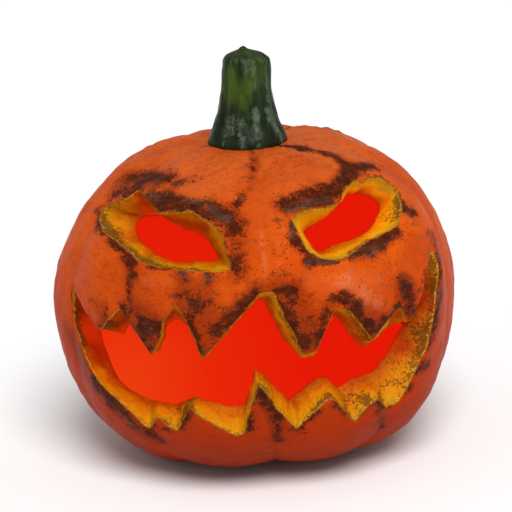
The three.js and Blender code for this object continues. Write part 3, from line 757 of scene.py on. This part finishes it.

# %% [markdown]
# ## Orange skin
# Sprayed and hand-rubbed acrylic over cast foam: satin orange, darker towards the floor as painted
# shade, with brush marks, rubbed places that also hold painted highlights, and dark paint dragged on
# almost dry, which catches the foam's skin as specks. The specks are drawn about 1 mm wide, coarser
# than they can be, so that they show. Each layer is mixed over the last, as the brush laid it, and
# noise breaks up its edges.


# %% Brushed acrylic
def brushed_acrylic(tree):
    laid, wash, ash, worn_and_sheen, rim = (
        add(tree, "Attribute", out="Fac", attribute_name=name)
        for name in ("soot", "wash", "ash", "worn_and_sheen", "rim"))
    place = add(tree, "TexCoord", out="Object")
    # Darker towards the floor: painted shade, as if the light came from above.
    level = add(tree, "SeparateXYZ", {0: place}, out="Z")
    level = add(tree, "MapRange", {"Value": level, "From Max": 0.178})
    color = add(tree, "ValToRGB", {0: level}, stops=[
        (0, "#7c2204"), (0.22, "#a62e04"), (0.5, "#c24004"), (0.75, "#d4540a"), (1, "#ca5a20")])
    patches = add(tree, "TexNoise", {"Vector": place, "Scale": MM / 38, "Detail": 3})
    patches = add(tree, "MapRange", {
        "Value": patches, "From Min": 0.42, "From Max": 0.66, "To Max": 0.45}, **SMOOTH)
    color = add(tree, "Mix", {0: patches, 6: color, 7: linear("#b23503")}, **MIX)

    # Brush marks, longer round the shell than up it.
    along = add(tree, "VectorMath", {0: place, 1: (0.6, 0.6, 1.1)}, operation="MULTIPLY")
    marks = add(tree, "TexNoise", {"Vector": along, "Scale": MM / 3, "Detail": 4, "Roughness": 0.65})
    color = layer(tree, color, "#a53808", marks, 0.5, 0.7, 0.55)

    # Rubbed pale, and painted highlight on the cheeks, the bridge of the nose and the sides.
    fine = add(tree, "TexNoise", {"Vector": place, "Scale": MM / 1.6, "Detail": 4, "Roughness": 0.7})
    rubbed = add(tree, "Math", {0: fine, 1: marks}, operation="ADD")
    color = layer(tree, color, "#e08a60", worn_and_sheen, 1.9, 3.1, 0.5, rubbed, 1.6)

    # Red-brown glaze.
    uneven = add(tree, "TexNoise", {"Vector": along, "Scale": MM / 5, "Detail": 5, "Roughness": 0.6})
    uneven = add(tree, "Math", {0: fine, 1: uneven}, operation="ADD")
    uneven = add(tree, "Math", {0: uneven, 1: 1.0}, operation="SUBTRACT")
    color = layer(tree, color, "#822606", wash, 0.2, 1.3, 0.68, uneven, 1.2)

    # Dark paint, brown or grey, paler where the brush ran dry.
    dabs = add(tree, "TexVoronoi", {"Vector": place, "Scale": MM / 0.85}, out="Color")
    dab = add(tree, "SeparateColor", {0: dabs})
    soot = add(tree, "Math", {0: uneven, 1: 2.6, 2: laid}, **TIMES_PLUS)
    soot = add(tree, "Math", {0: dab, 1: 0.35, 2: soot}, **TIMES_PLUS)
    soot = add(tree, "MapRange", {
        "Value": soot, "From Min": 0.68, "From Max": 0.98, "To Max": 0.88}, **SMOOTH)
    shade = add(tree, "Math", {0: marks, 1: 1.8, 2: -0.25}, **TIMES_PLUS)
    shade = add(tree, "Math", {0: laid, 1: -0.42, 2: shade}, **TIMES_PLUS)
    brown = add(tree, "ValToRGB", {0: shade}, stops=[(0, "#200c05"), (0.3, "#451b0c"), (1, "#a04c24")])
    grey = add(tree, "ValToRGB", {0: shade}, stops=[(0, "#261a12"), (0.4, "#4a3628"), (1, "#a8826a")])
    dark = layer(tree, brown, grey, ash, 0.75, 1.25, 1.0, fine, 0.8)
    color = add(tree, "Mix", {0: soot, 6: color, 7: dark}, **MIX)

    # Spatter, and ochre on the rims.
    spots = add(tree, "SeparateColor", {0: dabs}, out=1)
    spots = add(tree, "MapRange", {"Value": spots, "From Min": 0.98, "From Max": 0.988, "To Max": 0.5})
    color = add(tree, "Mix", {0: spots, 6: color, 7: linear("#5c2110")}, **MIX)
    color = layer(tree, color, "#9a6218", rim, 0.55, 0.85, 0.7, uneven, 1.5)

    grain = add(tree, "Math", {0: soot, 1: 0.25, 2: fine}, **TIMES_PLUS)
    grain = add(tree, "Math", {0: marks, 1: 0.7, 2: grain}, **TIMES_PLUS)
    bump = add(tree, "Bump", {"Strength": 0.9, "Distance": 0.0009, "Height": grain})
    rough = add(tree, "MapRange", {"Value": patches, "From Max": 0.45, "To Min": 0.36, "To Max": 0.48})
    return add(tree, "BsdfPrincipled", {
        "Base Color": color, "Roughness": rough, "Normal": bump, "Specular IOR Level": 0.03})


skin_paint = painted("brushed acrylic on orange foam", brushed_acrylic)

# %% [markdown]
# ## Ochre cut faces
# Knife-trimmed foam under brushed ochre acrylic: yellow near the skin, orange towards the red inside,
# which is painted light of the lamp within, with dark paint caught on the rim and painted shade on
# walls that face down. Some walls in shade give off their own yellow as painted light, which lifts that
# shade.
# The lamp's light soaks through the inner edge, which a little emission shows, because true scattering
# through the foam would take far more samples.


# %% Ochre acrylic
def ochre_cut(tree):
    depth, painted_glow, dirt_and_shade = (
        add(tree, "Attribute", out="Fac", attribute_name=name)
        for name in ("depth", "painted_glow", "dirt_and_shade"))
    place = add(tree, "TexCoord", out="Object")
    broad = add(tree, "TexNoise", {"Vector": place, "Scale": MM / 11, "Detail": 4})
    fine = add(tree, "TexNoise", {"Vector": place, "Scale": MM / 1.7, "Detail": 4, "Roughness": 0.7})
    # Yellow near the skin to orange and red towards the inside: the ochre's own tones, turned redder
    # with depth and with the glow as painted light of the lamp inside.
    run = add(tree, "Math", {0: broad, 1: 0.9, 2: depth}, **TIMES_PLUS)
    run = add(tree, "Math", {0: fine, 1: 0.8, 2: run}, **TIMES_PLUS)
    run = add(tree, "Math", {0: painted_glow, 1: 0.4, 2: run}, **TIMES_PLUS)
    run = add(tree, "MapRange", {"Value": run, "From Min": 0.75, "From Max": 1.95})
    color = add(tree, "ValToRGB", {0: run}, stops=[
        (0, "#a87a16"), (0.2, "#cf8906"), (0.5, "#cc7604"), (0.8, "#b85403"), (1, "#a83e03")])
    # Red laid over the base colour where the glow is strong: painted light of the lamp inside.
    color = layer(tree, color, "#ad3402", painted_glow, 0.65, 1.35, 0.85, broad, 0.8)

    # Dark paint caught near the skin, painted shade on walls that face down, and pale chips.
    dabs = add(tree, "TexVoronoi", {"Vector": place, "Scale": MM / 1.0}, out="Color")
    dab = add(tree, "SeparateColor", {0: dabs})
    edge = add(tree, "MapRange", {"Value": depth, "From Max": 0.4, "To Min": 0.66, "To Max": 0.0})
    dark = add(tree, "Math", {0: dirt_and_shade, 1: edge}, operation="ADD")
    dark = add(tree, "Math", {0: fine, 1: 1.7, 2: dark}, **TIMES_PLUS)
    shade = add(tree, "ValToRGB", {0: broad}, stops=[(0.38, "#54400e"), (0.55, "#552808")])
    color = layer(tree, color, shade, dark, 1.6, 2.0, 0.8, dab, 0.45)
    pale = add(tree, "SeparateColor", {0: dabs}, out=1)
    pale = add(tree, "Math", {0: pale, 1: edge}, operation="ADD")
    pale = add(tree, "MapRange", {"Value": pale, "From Min": 1.42, "From Max": 1.5, "To Max": 0.5})
    color = add(tree, "Mix", {0: pale, 6: color, 7: linear("#cfae62")}, **MIX)

    # Light through the foam: red at the inner edge, and where the painted glow is below 0, the paint's
    # own yellow given off as painted light that lifts the shade of the walls.
    soak = add(tree, "Math", {0: painted_glow, 1: 0.5, 2: depth}, **TIMES_PLUS)
    soak = add(tree, "MapRange", {"Value": soak, "From Min": 0.85, "From Max": 1.45}, **SMOOTH)
    soak = add(tree, "ValToRGB", {0: soak}, stops=[(0, "#000000"), (1, "#902003")])
    thin = add(tree, "MapRange", {"Value": painted_glow, "From Max": -0.8, "To Max": 0.6})
    soak = add(tree, "Mix", {0: thin, 6: soak, 7: color}, blend_type="ADD", **MIX)
    bump = add(tree, "Bump", {"Strength": 0.9, "Distance": 0.001, "Height": fine})
    return add(tree, "BsdfPrincipled", {
        "Base Color": color, "Roughness": 0.45, "Normal": bump, "Specular IOR Level": 0.06,
        "Emission Color": soak, "Emission Strength": 1.0})


cut_paint = painted("ochre acrylic on cut foam", ochre_cut)

# %% [markdown]
# ## Red inside
# The inside is coloured by a lamp of its own: an even saturated red with no shading to speak of,
# turning orange low on one side where the lamp is nearest. A real lamp would need its place and
# its case, which nothing shows, so the inside itself gives off this light.


# %% Lit foam
def lit_inside(tree):
    place = add(tree, "TexCoord", out="Object")
    side = add(tree, "SeparateXYZ", {0: place}, out="X")
    side = add(tree, "MapRange", {"Value": side, "From Min": 0.03, "From Max": -0.085})
    low = add(tree, "SeparateXYZ", {0: place}, out="Z")
    low = add(tree, "MapRange", {"Value": low, "From Min": 0.1, "From Max": 0.035, "To Min": 0.15})
    near = add(tree, "Math", {0: side, 1: low}, operation="MULTIPLY")
    glow = add(tree, "ValToRGB", {0: near}, stops=[(0, "#e21804"), (0.5, "#e42707"), (1, "#e93f0e")])
    return add(tree, "BsdfPrincipled", {
        "Base Color": linear("#300402"), "Roughness": 0.9, "Specular IOR Level": 0.1,
        "Emission Color": glow, "Emission Strength": 1.0})


inside_paint = painted("red lit inside of the foam", lit_inside)

# %% [markdown]
# ## Green stem
# Glossy enamel over cast resin: dark bottle green, yellower in streaks, with painted highlights as pale
# patches and painted shade darker towards the foot. The height that its noises read is shrunk, which
# stretches them up the stem as a brush would.


# %% Green enamel
def green_enamel(tree):
    place = add(tree, "TexCoord", out="Object")
    along = add(tree, "VectorMath", {0: place, 1: (1, 1, 0.22)}, operation="MULTIPLY")
    streak = add(tree, "TexNoise", {"Vector": along, "Scale": MM / 7, "Detail": 4})
    thin = add(tree, "TexNoise", {"Vector": along, "Scale": MM / 3.5, "Detail": 5, "Roughness": 0.7})
    short = add(tree, "VectorMath", {0: place, 1: (1, 1, 0.5)}, operation="MULTIPLY")
    fine = add(tree, "TexNoise", {"Vector": short, "Scale": MM / 1.8, "Detail": 5, "Roughness": 0.75})
    # Darker towards the foot, where it curls under, as painted shade, and a little paler towards the
    # cap.
    level = add(tree, "SeparateXYZ", {0: place}, out="Z")
    level = add(tree, "MapRange", {
        "Value": level, "From Min": 0.185, "From Max": 0.222, "To Min": -0.1, "To Max": 0.06})
    tone = add(tree, "Math", {0: streak, 1: level}, operation="ADD")
    color = add(tree, "ValToRGB", {0: tone}, stops=[
        (0.3, "#0f180a"), (0.48, "#18250e"), (0.62, "#223411")])
    moss = add(tree, "Attribute", out="Fac", attribute_name="moss")
    color = layer(tree, color, "#4c6208", moss, 1.0, 2.0, 0.5, thin, 1.6)
    # Pale patches: painted highlights on the gloss.
    painted_sheen = add(tree, "Attribute", out="Fac", attribute_name="painted_sheen")
    color = layer(tree, color, "#6f8065", painted_sheen, 1.7, 2.5, 0.5, fine, 2.6)
    bump = add(tree, "Bump", {"Strength": 0.5, "Distance": 0.0006, "Height": fine})
    return add(tree, "BsdfPrincipled", {
        "Base Color": color, "Roughness": 0.36, "Normal": bump, "Specular IOR Level": 0.14})


for mat in (skin_paint, cut_paint, inside_paint):  # in the order of the faces' paint numbers
    shell.data.materials.append(mat)
stem.data.materials.append(painted("glossy green enamel on resin", green_enamel))

# %% [markdown]
# ## Stage
# A plain pale floor under soft light from all round, with one large soft lamp in front and above,
# so the sculpted face reads without hard shadows. A sun with a wide disc stands for a large soft
# box far off: it is as bright on the floor as on the object.

# %% Floor and light
ROOM_LIGHT, SUN_LIGHT, SUN_DISC = 0.42, 2.8, 35
bpy.context.scene.view_settings.view_transform = "Standard"
world = bpy.data.worlds.new("studio")
bpy.context.scene.world = world
world.use_nodes = True
world.node_tree.nodes["Background"].inputs["Color"].default_value = (1, 1, 1, 1)
world.node_tree.nodes["Background"].inputs["Strength"].default_value = ROOM_LIGHT


def studio_paper(tree):
    clouds = add(tree, "TexNoise", {"Vector": add(tree, "TexCoord", out="Object"), "Scale": 2.5})
    paper = add(tree, "ValToRGB", {0: clouds}, stops=[(0.4, "#f6f6f6"), (0.6, "#f8f8f8")])
    return add(tree, "BsdfPrincipled", {
        "Base Color": paper, "Roughness": 0.9, "Specular IOR Level": 0.1})


floor_mesh = bpy.data.meshes.new("floor")
floor_mesh.from_pydata([(-8, -8, 0), (8, -8, 0), (8, 8, 0), (-8, 8, 0)], [], [(0, 1, 2, 3)])
floor = bpy.data.objects.new("floor", floor_mesh)
bpy.context.scene.collection.objects.link(floor)
floor_mesh.materials.append(painted("pale studio floor", studio_paper))

lamp = bpy.data.lights.new("soft_box", "SUN")
lamp.energy, lamp.angle = SUN_LIGHT, math.radians(SUN_DISC)
soft_box = bpy.data.objects.new("soft_box", lamp)
soft_box.rotation_euler = Vector((-0.12, 0.8, -1.0)).to_track_quat("-Z", "Y").to_euler()
bpy.context.scene.collection.objects.link(soft_box)
print("floor:", [round(v, 2) for v in floor.dimensions[:2]], "m wide")


# %% Camera
# It looks at the object from AZIMUTH and ELEVATION, and ROLL makes the object lean in the frame.
AZIMUTH, ELEVATION, ROLL = np.radians([-3.5, 16, -3.2]).tolist()
DISTANCE, AIM, LENS = 1.3, Vector((0, 0, 0.109)), 161
back = Vector((
    math.sin(AZIMUTH) * math.cos(ELEVATION), -math.cos(AZIMUTH) * math.cos(ELEVATION),
    math.sin(ELEVATION)))
place = Vector((0, 0, WIDEST_HEIGHT / 1000)) + back * DISTANCE
z = (place - AIM).normalized()
x = Vector((0, 0, 1)).cross(z).normalized()
turn = Matrix((x, z.cross(x), z)).transposed() @ Matrix.Rotation(ROLL, 3, "Z")
camera = bpy.data.objects.new("camera", bpy.data.cameras.new("camera"))
camera.data.lens, camera.data.sensor_width = LENS, 36
camera.matrix_world = Matrix.Translation(place) @ turn.to_4x4()
bpy.context.scene.collection.objects.link(camera)
bpy.context.scene.camera = camera
print("camera at", [round(v, 2) for v in place], "m")
